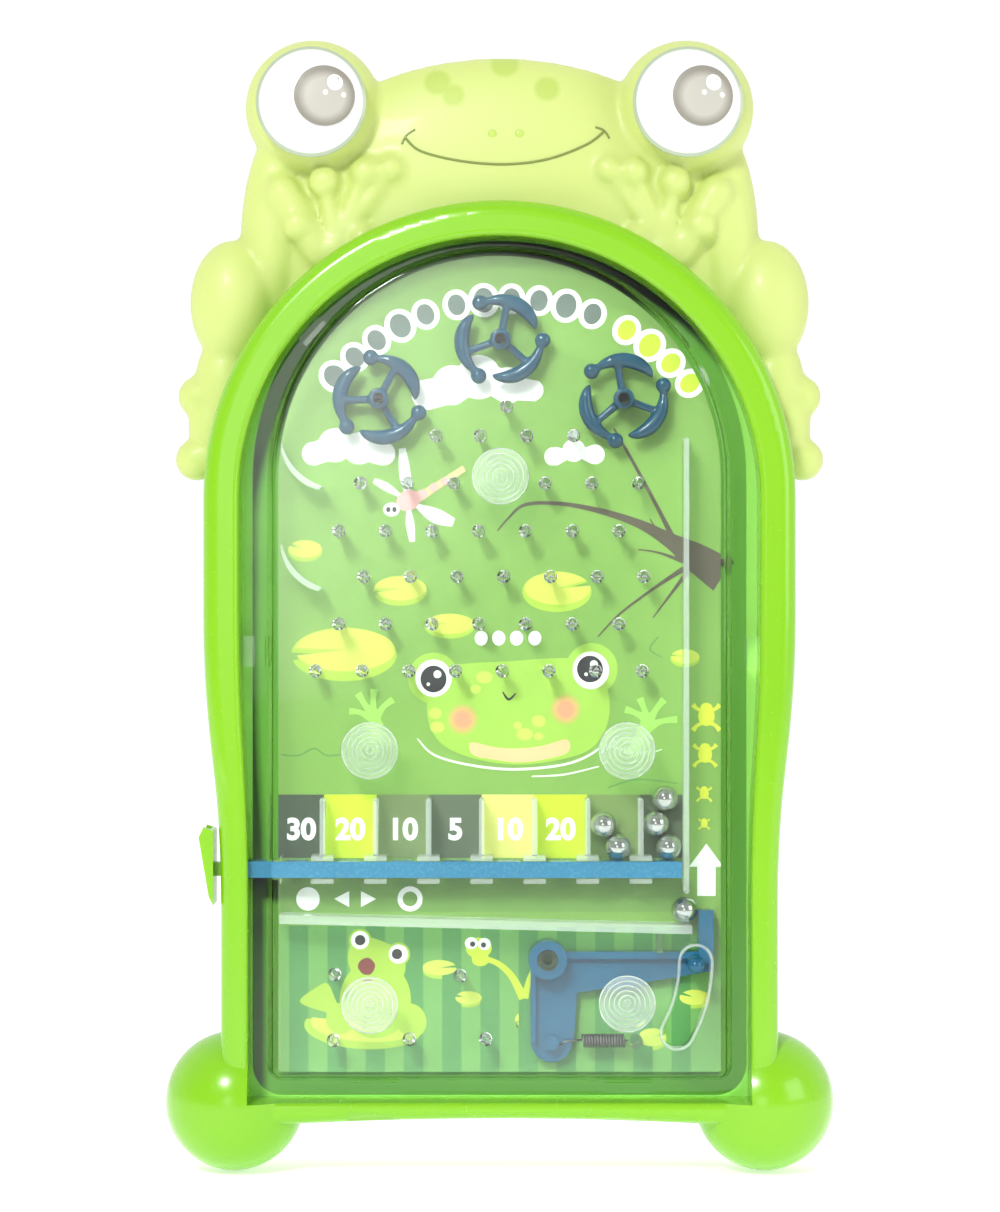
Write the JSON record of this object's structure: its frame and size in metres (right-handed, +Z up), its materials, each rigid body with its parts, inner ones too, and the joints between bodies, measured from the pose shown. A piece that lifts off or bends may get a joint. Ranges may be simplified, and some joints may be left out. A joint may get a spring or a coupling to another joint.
{
  "type": "handheld ball drop pinball game",
  "caption": "Hand-held frog-shaped ball game: arched green frame, clear cover over a pin field with spinners, score pockets, sliding gate and sprung flick launcher.",
  "frame": {"origin": "on the ground line midway between the two round feet, at mid depth", "axes": "+X to the player's right, +Y to the back, +Z up the playing field"},
  "size_m": [0.154, 0.032, 0.261],
  "materials": {
    "frame_green": "glossy lime green moulded plastic",
    "tray_green": "darker green moulded plastic",
    "frog_pale": "pale yellow green moulded plastic",
    "eye_white": "glossy white plastic",
    "eye_dark": "grey brown gloss print",
    "clear_plastic": "clear polystyrene",
    "blue_plastic": "steel blue moulded plastic",
    "ball_steel": "polished steel balls",
    "spring_steel": "drawn spring wire",
    "screw_steel": "zinc plated",
    "printed_card": "printed card with a pond scene"
  },
  "bodies": {
    "housing": {"ball_ramp": "clear_plastic", "clear_cover": "clear_plastic", "crank_post": "clear_plastic", "crank_stop": "clear_plastic", "deflector_vanes": "clear_plastic", "eye_pupils": "eye_dark", "eye_whites": "eye_white", "frog_back_shell": "frog_pale", "frog_front_shell": "frog_pale", "front_frame": "frame_green", "gate_rail": "clear_plastic", "lane_wall": "clear_plastic", "playfield_card": "printed_card", "playfield_pins": "clear_plastic", "playfield_tray": "tray_green", "pocket_dividers": "clear_plastic", "pocket_floor": "clear_plastic", "rear_shell": "frame_green", "return_spring": "spring_steel", "ring_bumpers": "clear_plastic", "spinner_axles": "clear_plastic", "spring_post": "clear_plastic", "tray_screws": "screw_steel"},
    "launcher": {"launch_crank": "blue_plastic", "crank_knob": "blue_plastic"},
    "gate": {"gate_slider": "blue_plastic", "gate_pull": "frame_green"},
    "spinner_left_body": {"spinner_left": "blue_plastic"},
    "spinner_top_body": {"spinner_top": "blue_plastic"},
    "spinner_right_body": {"spinner_right": "blue_plastic"},
    "launch_ball": {"ball_at_launcher": "ball_steel"},
    "seventh_pocket_balls": {"balls_in_seventh_pocket": "ball_steel"},
    "eighth_pocket_balls": {"balls_in_eighth_pocket": "ball_steel"}
  },
  "joints": [
    {"name": "launcher_pull", "type": "hinge", "parent": "housing", "child": "launcher", "pos_m": [0.011, 0, 0.0492], "axis": [0, 1, 0], "range_deg": [0, 26], "stiffness_Nm_per_rad": 0.06, "springref_deg": -17.19, "deforming": ["return_spring"]},
    {"name": "gate_slide", "type": "slide", "parent": "housing", "child": "gate", "axis": [-1, 0, 0], "range_m": [0, 0.006]},
    {"name": "spinner_left_turn", "type": "hinge", "parent": "housing", "child": "spinner_left_body", "pos_m": [-0.0277, 0, 0.1774], "axis": [0, 1, 0], "continuous": true},
    {"name": "spinner_top_turn", "type": "hinge", "parent": "housing", "child": "spinner_top_body", "pos_m": [0.0002, 0, 0.191], "axis": [0, 1, 0], "continuous": true},
    {"name": "spinner_right_turn", "type": "hinge", "parent": "housing", "child": "spinner_right_body", "pos_m": [0.0284, 0, 0.1774], "axis": [0, 1, 0], "continuous": true},
    {"name": "launch_ball_roll", "type": "slide", "parent": "housing", "child": "launch_ball", "axis": [-0.9997, 0, 0.0255], "range_m": [0, 0.08]},
    {"name": "seventh_pocket_rise", "type": "slide", "parent": "housing", "child": "seventh_pocket_balls", "axis": [0, 0, 1], "range_m": [0, 0.005]},
    {"name": "eighth_pocket_rise", "type": "slide", "parent": "housing", "child": "eighth_pocket_balls", "axis": [0, 0, 1], "range_m": [0, 0.005]}
  ]
}
